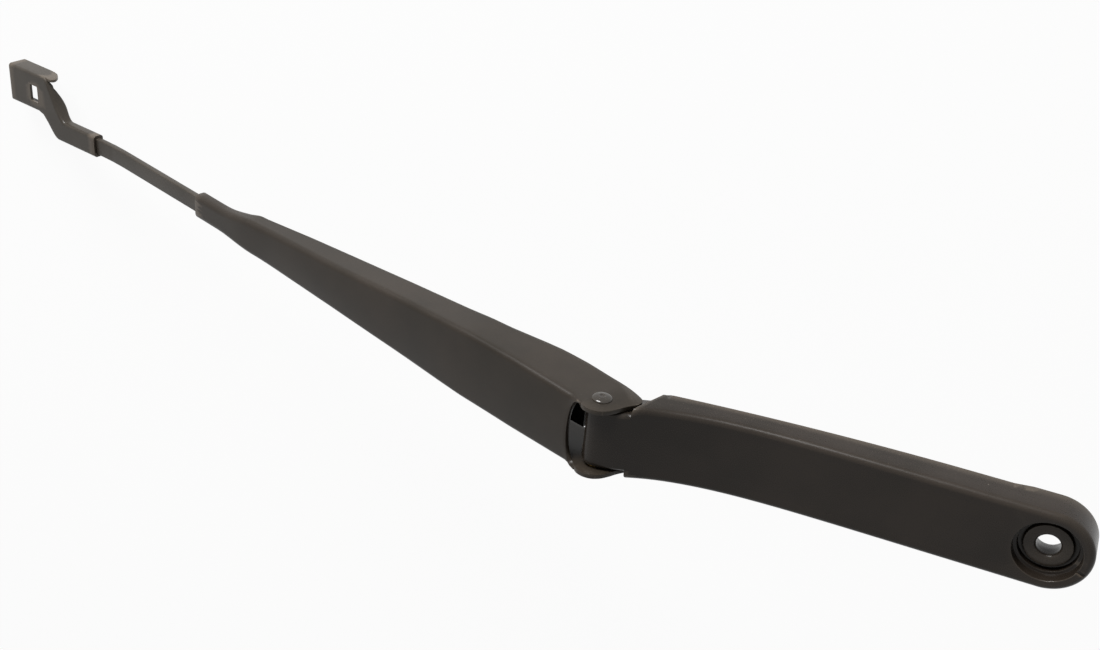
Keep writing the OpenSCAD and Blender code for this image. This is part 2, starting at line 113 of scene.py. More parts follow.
def smooth_line(points, steps):
    """Catmull-Rom line through 2D points, closed or not at its ends as given."""
    line = []
    for i in range(len(points) - 1):
        p0 = Vector(points[max(i - 1, 0)])
        p1, p2 = Vector(points[i]), Vector(points[i + 1])
        p3 = Vector(points[min(i + 2, len(points) - 1)])
        for k in range(steps):
            t = k / steps
            line.append(tuple(0.5 * (2 * p1 + (p2 - p0) * t + (2 * p0 - 5 * p1 + 4 * p2 - p3) * t * t
                                     + (3 * p1 - p0 - 3 * p2 + p3) * t ** 3)))
    return line + [tuple(points[-1])]


# Meshes

def new_piece(name, bm, sharp_deg=38):
    """Plain mesh object from a bmesh in millimetres, smooth but for its sharp edges."""
    bmesh.ops.scale(bm, vec=(MM,) * 3, verts=bm.verts)
    bmesh.ops.recalc_face_normals(bm, faces=bm.faces)
    mesh = bpy.data.meshes.new(name)
    bm.to_mesh(mesh)
    bm.free()
    piece = bpy.data.objects.new(name, mesh)
    bpy.context.scene.collection.objects.link(piece)
    mark_sharp(mesh, sharp_deg)
    return piece


def mark_sharp(mesh, sharp_deg):
    """Shades a mesh smooth, with an edge sharp where its faces meet at more than an angle."""
    bm = bmesh.new()
    bm.from_mesh(mesh)
    limit = math.radians(sharp_deg)
    for face in bm.faces:
        face.smooth = True
    for edge in bm.edges:
        edge.smooth = len(edge.link_faces) == 2 and edge.calc_face_angle(0) < limit
    bm.to_mesh(mesh)
    bm.free()


def settle(piece, sharp_deg=38):
    """Turns a piece's modifiers into its mesh."""
    bpy.context.view_layer.update()
    graph = bpy.context.evaluated_depsgraph_get()
    mesh = bpy.data.meshes.new_from_object(piece.evaluated_get(graph), depsgraph=graph)
    piece.modifiers.clear()
    old = piece.data
    piece.data = mesh
    bpy.data.meshes.remove(old)
    mark_sharp(mesh, sharp_deg)
    return piece


def add_sheet(bm, rows, skip=lambda i, j: False):
    """Quads over rows of points, less those that skip names."""
    grid = [[bm.verts.new(p) for p in row] for row in rows]
    for i in range(len(grid) - 1):
        for j in range(len(grid[i]) - 1):
            if not skip(i, j):
                bm.faces.new((grid[i][j], grid[i][j + 1], grid[i + 1][j + 1], grid[i + 1][j]))
    return grid


def add_loft(bm, rings):
    """Closed skin through rings of points, with a flat end on each."""
    loops = [[bm.verts.new(p) for p in ring] for ring in rings]
    for one, two in zip(loops, loops[1:]):
        for a in range(len(one)):
            b = (a + 1) % len(one)
            bm.faces.new((one[a], one[b], two[b], two[a]))
    bm.faces.new(loops[0])
    bm.faces.new(loops[-1][::-1])


def thicken(piece, thickness, width, segments=2, angle_deg=50):
    """Gives a sheet its thickness, inwards, and eases its cut edges."""
    wall = piece.modifiers.new("Thickness", "SOLIDIFY")
    wall.thickness = thickness * MM
    wall.offset = -1
    wall.use_even_offset = False
    wall.use_quality_normals = True
    ease_edges(piece, width, segments, angle_deg)
    return piece


def ease_edges(piece, width, segments=2, angle_deg=50):
    bevel = piece.modifiers.new("Eased edges", "BEVEL")
    bevel.width = width * MM
    bevel.segments = segments
    bevel.limit_method = "ANGLE"
    bevel.angle_limit = math.radians(angle_deg)
    bevel.harden_normals = False
    bevel.use_clamp_overlap = True


def carve(piece, tool):
    """Cuts a tool out of a piece and removes the tool."""
    cut = piece.modifiers.new("Carve", "BOOLEAN")
    cut.operation = "DIFFERENCE"
    cut.solver = "EXACT"
    cut.object = tool
    settle(piece)
    bpy.data.objects.remove(tool)


def prism(name, outline, low, high, place):
    """Closed prism: an outline in a plane, from low to high across it, put in place by a function."""
    bm = bmesh.new()
    add_loft(bm, [[place(a, b, h) for a, b in outline] for h in (low, high)])
    bmesh.ops.triangulate(bm, faces=[f for f in bm.faces if len(f.verts) > 4])
    return new_piece(name, bm)


# Places

def in_head(x, z, y):
    return (x, y, z)


def in_arm(u, w, y):
    """Point of the channel's own frame: u along from the hinge, w up, y across."""
    a = math.radians(FOLD_DEG)
    return (HINGE_X + u * math.cos(a) + w * math.sin(a), y, HINGE_Z - u * math.sin(a) + w * math.cos(a))


BAR_DEG = math.degrees(math.atan2(0.5, 73))
BAR_IN_SLEEVE = WEB_H + WEB_RISE - SHEET - 0.1
BEND_U = CHANNEL_LEN + BAR_FREE - BEND_TO_GRIP
BEND_W = BAR_IN_SLEEVE + (BEND_U - CHANNEL_LEN) * math.tan(math.radians(BAR_DEG))
RISE_DEG = FOLD_DEG - ADAPTER_DEG


def on_bar(distance):
    """Point of the bar's top that far past the bend, as (u, w)."""
    a = math.radians(RISE_DEG)
    return BEND_U + distance * math.cos(a), BEND_W + distance * math.sin(a)


def in_adapter(s, n, y):
    """Point of the adapter's frame: s along from the sleeve's open end, n up from its top, y across."""
    a = math.radians(RISE_DEG)
    u, w = on_bar(BEND_TO_GRIP)
    lift = n + ADAPTER_SHEET + 0.05
    return in_arm(u + s * math.cos(a) - lift * math.sin(a), w + s * math.sin(a) + lift * math.cos(a), y)


# Finishes

def srgb(code):
    """Linear colour of an sRGB hex code."""
    parts = [int(code[i:i + 2], 16) / 255 for i in (1, 3, 5)]
    return tuple(c / 12.92 if c <= 0.04045 else ((c + 0.055) / 1.055) ** 2.4 for c in parts) + (1.0,)


def add_node(tree, kind, links=None, **settings):
    """Adds a node with its settings. links maps an input to a value or to another node's output."""
    node = tree.nodes.new(kind)
    for key, value in settings.items():
        setattr(node, key, value)
    for key, value in (links or {}).items():
        if isinstance(value, bpy.types.NodeSocket):
            tree.links.new(value, node.inputs[key])
        else:
            node.inputs[key].default_value = value
    return node


def finish_base(name):
    material = bpy.data.materials.new(name)
    material.use_nodes = True
    tree = material.node_tree
    shader = tree.nodes["Principled BSDF"]
    place = add_node(tree, "ShaderNodeTexCoord").outputs["Object"]
    return material, tree, shader, place


def blended(tree, low, high, factor):
    mix = add_node(tree, "ShaderNodeMix", {"Factor": factor}, data_type="RGBA")
    mix.inputs["A"].default_value = srgb(low)
    mix.inputs["B"].default_value = srgb(high)
    return mix.outputs["Result"]


def ranged(tree, value, low, high, to_low, to_high):
    return add_node(tree, "ShaderNodeMapRange", {"Value": value, "From Min": low, "From Max": high,
                                                 "To Min": to_low, "To Max": to_high}).outputs["Result"]


def noise(tree, place, size_mm, detail=2.0):
    """Noise from 0 to 1 whose patches are about that many millimetres across."""
    return add_node(tree, "ShaderNodeTexNoise",
                    {"Vector": place, "Scale": 1 / (size_mm * MM), "Detail": detail}).outputs["Fac"]


def black_coat(name, dark, light, peel_mm, peel_strength, rough, shine, wear_and_highlight=(0.52, 0.6, 0.6)):
    """Satin black coating: a low orange peel, fine grain, faint dust, and wear with a painted highlight on convex
    edges.
    """
    material, tree, shader, place = finish_base(name)
    # Broad unevenness of the coat, tens of millimetres across
    broad = noise(tree, place, 28, 3.0)
    # Orange peel a few millimetres across, drawn coarser than its real 0.5 mm so that it shows
    peel = noise(tree, place, peel_mm)
    # Grain of the matting agent, drawn at 0.35 mm
    grain = noise(tree, place, 0.35, 1.0)
    # Dust and tiny inclusions, specks of 0.3 mm scattered 7 mm apart
    specks = add_node(tree, "ShaderNodeTexVoronoi",
                      {"Vector": place, "Scale": 1 / (7 * MM), "Randomness": 1.0})
    dust = ranged(tree, specks.outputs["Distance"], 0.022, 0.036, 1.0, 0.0)
    rare = ranged(tree, noise(tree, place, 19), 0.5, 0.62, 0.0, 0.55)
    dusty = add_node(tree, "ShaderNodeMath", {0: dust, 1: rare}, operation="MULTIPLY").outputs["Value"]
    # Convex edges, lightened where the coat is thin and handling has polished it, and also as a painted highlight
    point = add_node(tree, "ShaderNodeNewGeometry").outputs["Pointiness"]
    edge = ranged(tree, point, wear_and_highlight[0], wear_and_highlight[1], 0.0, wear_and_highlight[2])
    tone = blended(tree, dark, light, ranged(tree, broad, 0.35, 0.65, 0.0, 1.0))
    # Painted highlight and wear: convex edges blended towards a warm grey
    worn_and_highlit = add_node(tree, "ShaderNodeMix", {"Factor": edge}, data_type="RGBA")
    tree.links.new(tone, worn_and_highlit.inputs["A"])
    worn_and_highlit.inputs["B"].default_value = srgb("#62594f")
    flecked = add_node(tree, "ShaderNodeMix", {"Factor": dusty}, data_type="RGBA")
    tree.links.new(worn_and_highlit.outputs["Result"], flecked.inputs["A"])
    flecked.inputs["B"].default_value = srgb("#8a837a")
    tree.links.new(flecked.outputs["Result"], shader.inputs["Base Color"])
    spread = add_node(tree, "ShaderNodeMath", {0: broad, 1: grain}, operation="ADD").outputs["Value"]
    tree.links.new(ranged(tree, spread, 0.7, 1.3, rough - 0.05, rough + 0.05), shader.inputs["Roughness"])
    height = add_node(tree, "ShaderNodeMath", {0: peel, 1: 2.2, 2: grain},
                      operation="MULTIPLY_ADD").outputs["Value"]
    bump = add_node(tree, "ShaderNodeBump",
                    {"Strength": peel_strength, "Distance": 0.02 * MM, "Height": height})
    tree.links.new(bump.outputs["Normal"], shader.inputs["Normal"])
    shader.inputs["IOR"].default_value = 1.5
    shader.inputs["Specular IOR Level"].default_value = shine
    return material


def bare_metal(name, dark, light, rough, lines_mm, around):
    """Bare metal with fine turning or drawing lines of that spacing along one axis."""
    material, tree, shader, place = finish_base(name)
    stretch = add_node(tree, "ShaderNodeMapping", {"Vector": place, "Scale": around}).outputs["Vector"]
    lines = noise(tree, stretch, lines_mm)
    stain = noise(tree, place, 6, 3.0)
    tree.links.new(blended(tree, dark, light, ranged(tree, stain, 0.35, 0.65, 0.0, 1.0)),
                   shader.inputs["Base Color"])
    tree.links.new(ranged(tree, lines, 0.3, 0.7, rough - 0.07, rough + 0.08), shader.inputs["Roughness"])
    bump = add_node(tree, "ShaderNodeBump", {"Strength": 0.25, "Distance": 0.02 * MM, "Height": lines})
    tree.links.new(bump.outputs["Normal"], shader.inputs["Normal"])
    shader.inputs["Metallic"].default_value = 1.0
    return material


# Powder coat on a die casting: satin, a little softer and warmer than the sheet's coat
# The last three numbers set where and how strongly the edge wear and painted highlight show
CASTING_COAT = black_coat("satin_powder_coat_on_casting", "#221d18", "#2b2520",
                          2.6, 0.28, 0.28, 0.19, (0.51, 0.55, 0.5))
# Dipped coat on pressed steel: thinner and more even, slightly greyer
SHEET_COAT = black_coat("satin_dip_coat_on_pressed_steel", "#25201a", "#2e2822", 3.4, 0.2, 0.36, 0.2)
# The same dip on the bar and adapter, where it is thinner; painted a shade lighter as painted light, for the
# stronger light on the tip
TIP_COAT_PAINTED_LIGHTER = black_coat("dip_coat_painted_lighter_on_flat_steel", "#35302a", "#403b35", 3.0, 0.2, 0.35, 0.22)
# The same coat on the rivet's domes, burnished by the riveting punch: glossier,
# so its rim and dimple catch the light
RIVET_COAT = black_coat("burnished_coat_on_rivet", "#28231d", "#332e27", 2.4, 0.12, 0.2, 0.5)
# Machined bore in the casting, left bare: grey with turning lines
BORE_METAL = bare_metal("reamed_zinc_casting", "#7d7a73", "#99958c", 0.42, 0.25, (0.1, 0.1, 1.0))
# Turned brass of the bush, drawn steel of the pin, phosphated link and zinc-plated spring wire
BUSH_BRASS = bare_metal("turned_brass", "#9a7a3c", "#b8944e", 0.32, 0.2, (1.0, 0.1, 1.0))
PIN_STEEL = bare_metal("drawn_steel", "#8b8b8c", "#a5a5a5", 0.3, 0.3, (1.0, 0.15, 1.0))
# Phosphated and oiled steel of the spring's link: almost black, a little metallic
LINK_STEEL = bare_metal("phosphated_steel", "#1c1b1a", "#2b2927", 0.5, 0.4, (1.0, 1.0, 1.0))
WIRE_ZINC = bare_metal("zinc_plated_spring_wire", "#7f8080", "#9c9c9a", 0.38, 0.5, (1.0, 1.0, 1.0))


def coat_with(piece, *materials):
    piece.data.materials.clear()
    for material in materials:
        piece.data.materials.append(material)


# The cast head

def head_top(x):
    return BORE_TO_LIP + SHOULDER_RISE * clamp01((x - 40) / (SHOULDER_X - 40)) ** 4.6


def head_rim(x):
    rise = WALL_DROP - 0.8 - RIM_END_DROP
    return (BORE_TO_LIP - WALL_DROP - 0.4 + 1.2 * ease((x - 9) / 8)
            + rise * clamp01((x - 30) / (SHOULDER_X - 30)) ** 2)


def head_half(x):
    return lerp(HEAD_R, SHOULDER_HALF, clamp01(x / SHOULDER_X) ** 2)


def leaned(x, z):
    """X of a point near the shoulder, whose end face slants back under the top."""
    return x - 0.45 * ease((x - SHOULDER_X + 12) / 12) * (head_top(x) - z)


def head_levels(x, steps=8):
    """Inset and height of the head's side, from the rim up round its edge to the top."""
    top = head_top(x)
    levels = [(0.35, head_rim(x)), (0.0, head_rim(x) + 0.35)]
    levels += [(0.0, lerp(head_rim(x) + 0.35, top - HEAD_EDGE_R, k / 3)) for k in (1, 2)]
    for k in range(steps + 1):
        a = math.radians(90 * k / steps)
        levels.append((HEAD_EDGE_R * (1 - math.cos(a)), top - HEAD_EDGE_R * (1 - math.sin(a))))
    return levels


PATCH_X = 16.0
BAYS = ((16.0, 61.0), (63.0, 103.0), (105.0, 141.7))
# Columns across the head, as distances in from its side: rim, wall, ceiling, then the middle
WALL_COLUMNS = (0.0, HEAD_WALL, HEAD_WALL + 0.15, HEAD_WALL + 0.5, HEAD_WALL + 1.4)


def head_columns(half):
    inner = half - WALL_COLUMNS[-1]
    left = [half - c for c in WALL_COLUMNS]
    middle = [lerp(inner, -inner, k / 12) for k in range(1, 12)]
    return left + middle + [-y for y in reversed(left)]


def under_height(x, y):
    """Height of the head's underside: rim and ribs, or a bay's draughted wall and ceiling."""
    rim, ceiling = head_rim(x), head_top(x) - HEAD_TOP
    if not any(a + 0.2 < x < b - 0.2 for a, b in BAYS):
        return rim
    inset = head_half(x) - abs(y)
    return table_at([(HEAD_WALL, rim), (HEAD_WALL + 0.15, ceiling - 1.2), (HEAD_WALL + 0.5, ceiling - 0.35),
                     (HEAD_WALL + 1.4, ceiling), (40.0, ceiling)], max(inset, HEAD_WALL))


def head_stations():
    even = [lerp(SHOULDER_X, PATCH_X, k / 56) for k in range(57)]
    walls = [x for a, b in BAYS for x in (a, a + 0.35, b - 0.35, b)]
    near = [x for x in even if min(abs(x - w) for w in walls) > 0.6 or x in (SHOULDER_X, PATCH_X)]
    return sorted(set(near + [w for w in walls if w > PATCH_X]), reverse=True)


def hull_of(points):
    """Convex outline of 2D points, counterclockwise."""
    def turn(o, a, b):
        return (a[0] - o[0]) * (b[1] - o[1]) - (a[1] - o[1]) * (b[0] - o[0])
    chains = []
    for ordered in (sorted(points), sorted(points, reverse=True)):
        chain = []
        for p in ordered:
            while len(chain) > 1 and turn(chain[-2], chain[-1], p) <= 0:
                chain.pop()
            chain.append(p)
        chains.append(chain[:-1])
    return chains[0] + chains[1]


PIN_X, PIN_Z, PIN_EYE_R = 158.49, 10.89, 4.15
NOSE_R = 5.4
TONGUE_COLUMN = 2
TONGUE_HALF = SHOULDER_HALF - WALL_COLUMNS[TONGUE_COLUMN]
LINK_SLOT = 13.2


def tongue_line():
    """Outline of the hinge tongue as (x, z), from the shoulder's top over the nose and back below."""
    root = (leaned(SHOULDER_X, head_rim(SHOULDER_X)), head_rim(SHOULDER_X))
    run, start = HINGE_X - SHOULDER_X, head_top(SHOULDER_X) - EDGE_BEAD
    slope = (head_top(SHOULDER_X) - head_top(SHOULDER_X - 0.1)) / 0.1 * run
    rise = HINGE_Z + NOSE_R - start
    top = [(SHOULDER_X + run * t, start + rise * ease(t) + slope * t * (1 - t) ** 2)
           for t in [k / 14 for k in range(14)]]
    rounds = arc(HINGE_X, HINGE_Z, NOSE_R, 0, 360, 56)[:-1] + arc(PIN_X, PIN_Z, PIN_EYE_R, 0, 360, 40)[:-1]
    under = [p for p in hull_of(rounds + [root]) if p[0] > HINGE_X - 0.1 or p[1] < HINGE_Z]
    return top + under[:0:-1] + [root]


def tongue_skin(bm, face, first, last):
    """Carries the head's top and rounded edges on over the tongue, as rows across its outline."""
    line = tongue_line()
    rails = range(4, len(face) - 1)
    previous = [face[i][first] for i in rails] + face[-1][first:last + 1] + [face[i][last]
                for i in reversed(rails)]
    sides = [[face[4][first]], [face[4][last]]]
    angles = [math.radians(90 * k / len(rails)) for k in range(len(rails) + 1)]
    across = [lerp(1, -1, (face[-1][first].co.y - v.co.y) / (2 * face[-1][first].co.y))
              for v in face[-1][first:last + 1]]
    for i in range(1, len(line) - 1):
        along = Vector(line[i + 1]) - Vector(line[i - 1])
        inward = Vector((along.y, -along.x)).normalized()
        round_off = HEAD_EDGE_R * lerp(1, 0.2, clamp01((HINGE_X - 4 - line[i][0]) / 12) if i > 20 else 0)
        row = []
        for a in angles:
            x, z = Vector(line[i]) + inward * round_off * (1 - math.sin(a))
            row.append((x, TONGUE_HALF * (1 - round_off * (1 - math.cos(a)) / SHOULDER_HALF), z))
        edge = row[-1]
        points = row[:-1] + [(edge[0], edge[1] * t, edge[2]) for t in across] + [(x, -y, z)
                    for x, y, z in row[-2::-1]]
        here = [bm.verts.new(p) for p in points]
        for a in range(len(here) - 1):
            bm.faces.new((previous[a], previous[a + 1], here[a + 1], here[a]))
        sides[0].append(here[0])
        sides[1].append(here[-1])
        previous = here
    count = len(angles) - 1
    below = face[0][first:last + 1]
    for a in range(len(below) - 1):
        bm.faces.new((previous[count + a], previous[count + a + 1], below[a + 1], below[a]))
    bm.faces.new(sides[0] + previous[1:count + 1] + [face[i][first] for i in range(4)])
    bm.faces.new(sides[1] + previous[-2:-count - 2:-1] + [face[i][last] for i in range(4)])


def spindle_profile():
    """Radius and height of the recess, nut seat, bore, taper and hub, from the top down and round."""
    lip = BORE_TO_LIP
    wall = [(RECESS_R + 0.4 - 0.4 * math.sin(a), lip - EDGE_BEAD - 0.4 + 0.4 * math.cos(a))
            for a in [math.radians(22.5 * k) for k in range(5)]]
    floor = lip - 4.4
    groove = floor - 2.6
    wall += [(RECESS_R, floor + 0.4), (RECESS_R - 0.12, floor + 0.1), (RECESS_R - 0.4, floor), (10.85, floor),
             (10.67, floor - 0.06), (10.6, floor - 0.25), (10.6, groove + 0.5), (10.45, groove + 0.15),
             (10.1, groove), (9.0, groove), (8.65, groove + 0.15), (8.5, groove + 0.5), (8.5, floor - 0.35),
             (8.4, floor - 0.1), (8.15, floor), (5.1, floor), (4.9, floor - 0.08), (4.4, floor - 0.6),
             (BORE_R, floor - 0.85)]
    bore = [(BORE_R, lerp(floor - 0.85, 0.0, k / 3)) for k in (1, 2, 3)]
    rim = lip - WALL_DROP
    taper = [(lerp(BORE_R, TAPER_R, k / 3), lerp(0.0, rim + 0.2, k / 3))
             for k in (1, 2, 3)] + [(TAPER_R + 0.25, rim)]
    under = [(HUB_R - 0.35, rim), (HUB_R, rim + 0.35), (HUB_R + 0.12, rim + 3.4), (HUB_R + 0.5, rim + 3.8),
             (12.6, rim + 3.8), (13.0, rim + 3.5), (13.1, rim + 0.3)]
    return wall, bore + taper, under


def cast_head():
    """The head's casting as one closed skin: body, bays, spindle end and hinge tongue."""
    bm = bmesh.new()
    stations = head_stations()
    straight = stations + [lerp(PATCH_X, 0, k / 5) for k in range(1, 6)]
    turn = [math.radians(90 + 180 * k / 56) for k in range(1, 56)]
    levels = len(head_levels(0))

    def ring(level):
        inset = [head_levels(x)[level] for x in straight]
        one = [(leaned(x, z), head_half(x) - i, z) for x, (i, z) in zip(straight, inset)]
        i0, z0 = head_levels(0)[level]
        end = [((HEAD_R - i0) * math.cos(a), (HEAD_R - i0) * math.sin(a), z0) for a in turn]
        return [bm.verts.new(p) for p in one + end + [(x, -y, z) for x, y, z in reversed(one)]]

    rings = [ring(level) for level in range(levels)]
    count = len(rings[0])
    for low, high in zip(rings, rings[1:]):
        for a in range(count - 1):
            bm.faces.new((low[a], low[a + 1], high[a + 1], high[a]))

    def crossing(level_ring, i, height):
        """Row across the head at station i, between the ring's two sides."""
        x, half = stations[i], head_half(stations[i])
        one, two = level_ring[i], level_ring[count - 1 - i]
        reach = (one.co.y - two.co.y) / (2 * half)
        inner = [bm.verts.new((leaned(x, height(x, y)), y * reach, height(x, y)))
                 for y in head_columns(half)[1:-1]]
        return [one] + inner + [two]

    tops = [crossing(rings[-1], i, lambda x, y: head_top(x) - EDGE_BEAD) for i in range(len(stations))]
    unders = [crossing(rings[0], i, under_height) for i in range(len(stations))]
    for rows in (tops, unders):
        for one, two in zip(rows, rows[1:]):
            for a in range(len(one) - 1):
                bm.faces.new((one[a], one[a + 1], two[a + 1], two[a]))

    # End face of the shoulder, level by level, open where the tongue goes on
    face = [unders[0]]
    for level in range(1, levels - 1):
        one, two = rings[level][0], rings[level][-1]
        steps = len(tops[0]) - 1
        row = [bm.verts.new(one.co.lerp(two.co, (tops[0][0].co.y - v.co.y)
                                                / (tops[0][0].co.y - tops[0][-1].co.y)))
               for v in tops[0][1:steps]]
        face.append([one] + row + [two])
    face.append(tops[0])
    first, last = TONGUE_COLUMN, len(tops[0]) - 1 - TONGUE_COLUMN
    for one, two in zip(face, face[1:]):
        for a in [a for a in range(len(one) - 1) if not first <= a < last]:
            bm.faces.new((one[a], one[a + 1], two[a + 1], two[a]))
    tongue_skin(bm, face, first, last)
    bmesh.ops.delete(bm, geom=[v for v in bm.verts if not v.link_faces], context="VERTS")

    # Spindle end: the top and the underside run in to rings round the spindle
    last = len(stations) - 1
    bound_top = rings[-1][last:count - last] + tops[last][-2:0:-1]
    bound_under = rings[0][last:count - last] + unders[last][-2:0:-1]
    angles = [math.atan2(v.co.y, v.co.x) for v in bound_under]
    wall, middle, under = spindle_profile()
    bore_faces = []
    previous = bound_top
    for part, profile in enumerate((wall, middle, under)):
        for r, z in profile:
            here = [bm.verts.new((r * math.cos(a), r * math.sin(a), z)) for a in angles]
            for a in range(len(angles)):
                b = (a + 1) % len(angles)
                quad = bm.faces.new((previous[a], previous[b], here[b], here[a]))
                if part == 1:
                    bore_faces.append(quad)
            previous = here
    for a in range(len(angles)):
        b = (a + 1) % len(angles)
        bm.faces.new((previous[a], previous[b], bound_under[b], bound_under[a]))
    for quad in bore_faces:
        quad.material_index = 1
    head = new_piece("cast_head", bm)
    coat_with(head, CASTING_COAT, BORE_METAL)
    return head


def link_slot():
    outline = [(SHOULDER_X - 14, -10), (HINGE_X + 20, -10), (HINGE_X + 20, HINGE_Z + 12),
               (HINGE_X + 2, HINGE_Z + 2),
               (SHOULDER_X + 4, BORE_TO_LIP + SHOULDER_RISE - 3.6),
               (SHOULDER_X - 14, BORE_TO_LIP + SHOULDER_RISE - 6)]
    slot = prism("link_slot", outline, -LINK_SLOT / 2, LINK_SLOT / 2, in_head)
    nose = prism("nose", arc(HINGE_X, HINGE_Z, NOSE_R - 0.2, 0, 360, 64)[:-1], -8, 8, in_head)
    carve(slot, nose)
    return slot


def pry_notch():
    """Small slot by the recess for lifting the cover cap out."""
    a = math.radians(160)
    ends = [(lerp(10.5, 14.6, t) * math.cos(a) - side * 0.8 * math.sin(a),
             lerp(10.5, 14.6, t) * math.sin(a) + side * 0.8 * math.cos(a))
            for t, side in ((0, -1), (1, -1), (1, 1), (0, 1))]
    return prism("pry_notch", ends, BORE_TO_LIP - 0.9, BORE_TO_LIP + 2, lambda x, y, z: (x, y, z))


head = cast_head()
carve(head, link_slot())
carve(head, pry_notch())
ease_edges(head, 0.3, 2, 48)
settle(head)
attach(head, "head")
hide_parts("arm_head")


# The pressed channel

# Outline of an ear as (u, w), from the fold's start over its top and round its tip to the lower edge
EAR_START = 3.0
EAR_LINE = ((EAR_START, 8.3), (2.2, 8.75), (0.5, 9.25), (-1.9, 9.15), (-4.2, 8.3), (-5.9, 6.95), (-7.6, 4.5),
            (-8.7, 1.3), (-9.5, -2.0), (-10.4, -4.5), (-11.3, -6.7), (-11.55, -8.8), (-11.0, -10.3), (-9.9, -11.3),
            (-7.9, -12.0), (-5.1, -12.7), (-0.8, -13.4), (EAR_START, -13.7))
# Where the web's open end starts, across from the middle: straight, then round to the ear
WEB_END_LINE = ((0.0, 9.1), (4.3, 8.95), (8.9, 8.45), (11.6, 7.6), (13.7, 6.3),
                (14.9, 4.6), (EAR_OUT, EAR_START))
CURL_R = 1.9
WALL_POINTS = 13


def channel_half(u):
    if u < 206:
        return table_at([(8, EAR_OUT), (40, EAR_OUT + 0.6), (68, EAR_OUT + 0.4),
                         (112, 13.2), (150, 10.9), (206, 8.5)], u)
    return lerp(8.5, BAR_W / 2 + SHEET + 0.05, ease((u - 206) / 28))


def channel_top(u):
    # Pressed up to 0.8 mm lower past the spring, which swings up close under the web when the arm is lifted
    sag = 0.8 * ease((u - 70) / 45) * ease((222 - u) / 30)
    return WEB_H + WEB_RISE * ease((u - 40) / 130) - sag


def channel_low(u):
    if u < 206:
        return table_at([(0, -13.6), (20, -14.2), (32, -13.6), (44, -11.7), (58, -9.5), (80, -7.5),
                         (114, -5.7), (150, -3.8), (176, -1.7), (206, 1.4)], u)
    return lerp(1.4, channel_top(u) - BAR_T - 2 * SHEET - 0.1, ease((u - 206) / 22))


def evenly(line, count):
    """That many points at equal steps along a line of 2D points."""
    reach = [0.0]
    for p, q in zip(line, line[1:]):
        reach.append(reach[-1] + math.dist(p, q))
    points, k = [], 0
    for i in range(count):
        d = reach[-1] * i / (count - 1)
        while k < len(line) - 2 and reach[k + 1] < d:
            k += 1
        t = (d - reach[k]) / max(reach[k + 1] - reach[k], 1e-9)
        points.append((lerp(line[k][0], line[k + 1][0], t), lerp(line[k][1], line[k + 1][1], t)))
    return points


def channel_section(u):
    """One half of the section's outside as (y, w), from the lip's end to the middle of the web."""
    half, low = channel_half(u), channel_low(u)
    # The fold climbs to the top of the ear at the hinge
    top = channel_top(u) + 2.9 * clamp01(1 - (u - EAR_START) / 5.5) ** 1.3
    fold = SHEET + lerp(0.5, 1.0, clamp01(u / 200))
    crown = 0.5 * clamp01((226 - u) / 60)
    lip = lerp(0.02, half - 0.3, ease((u - 208) / 20))
    curl = min(math.pi / 2, lip / CURL_R)
    foot = (half - CURL_R, low + CURL_R * math.sin(curl))
    lips = [(foot[0] + CURL_R * math.cos(a), foot[1] - CURL_R * math.sin(a))
            for a in [curl * (1 - k / 8) for k in range(9)]]
    if lip > CURL_R * math.pi / 2:
        lips.insert(0, (lips[0][0] - lip + CURL_R * math.pi / 2, lips[0][1]))
    side = top - crown - fold
    points = evenly(lips + [(half, side)], WALL_POINTS)
    points += arc(half - fold, side, fold, 0, 90, 7)[1:]
    flat = half - fold
    points += [(flat * (1 - k / 5), top - crown * (1 - k / 5) ** 2) for k in range(1, 6)]
    return points


def pressed_channel():
    """Channel and ears from one sheet, in rows that at the hinge start on the ears' and the web's edge."""
    stations = [lerp(EAR_START, 30, k / 14) for k in range(15)] + [lerp(30, 200, k / 50)
                for k in range(1, 51)]
    stations += [lerp(200, 232, k / 22) for k in range(1, 23)] + [lerp(232, CHANNEL_LEN, k / 5)
                for k in range(1, 6)]
    starts = [table_at(WEB_END_LINE, y) for y, w in channel_section(EAR_START + 4)]
    bm = bmesh.new()
    rows = []
    for u in stations:
        own = [lerp(start, 30, (u - EAR_START) / (30 - EAR_START)) if u < 30 else u for start in starts]
        one = [(v,) + channel_section(v)[j] for j, v in enumerate(own)]
        rows.append([in_arm(v, w, y) for v, y, w in one]
                    + [in_arm(v, w, -y) for v, y, w in reversed(one[:-1])])
    grid = add_sheet(bm, rows)
    line = smooth_line(EAR_LINE, 6)[1:-1]
    for first, side in ((grid[0][:WALL_POINTS], 1), (grid[0][::-1][:WALL_POINTS], -1)):
        outline = [bm.verts.new(in_arm(u, w, side * EAR_OUT)) for u, w in line]
        bm.faces.new(outline + first)
    piece = new_piece("pressed_channel", bm)
    point_outwards(piece, in_arm(100, 30, 0))
    thicken(piece, SHEET, 0.3)
    settle(piece)
    coat_with(piece, SHEET_COAT)
    return piece


def point_outwards(piece, outside):
    """Turns an open sheet so that the face nearest a point outside looks at it."""
    bm = bmesh.new()
    bm.from_mesh(piece.data)
    target = Vector(outside) * MM
    nearest = min(bm.faces, key=lambda f: (f.calc_center_median() - target).length)
    if nearest.normal.dot(target - nearest.calc_center_median()) < 0:
        bmesh.ops.reverse_faces(bm, faces=bm.faces)
    bm.to_mesh(piece.data)
    bm.free()


channel = pressed_channel()
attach(channel, "arm")
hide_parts("arm_channel")


# The flat bar

def bar_ring(u, w, tilt_deg, corner=0.7):
    tilt = math.radians(tilt_deg)
    a, b = BAR_W / 2 - corner, BAR_T - corner
    ring = arc(a, -corner, corner, 0, 90, 4) + arc(-a, -corner, corner, 90, 180, 4)
    ring += arc(-a, -b, corner, 180, 270, 4) + arc(a, -b, corner, 270, 360, 4)
    return [in_arm(u - h * math.sin(tilt), w + h * math.cos(tilt), y) for y, h in ring]


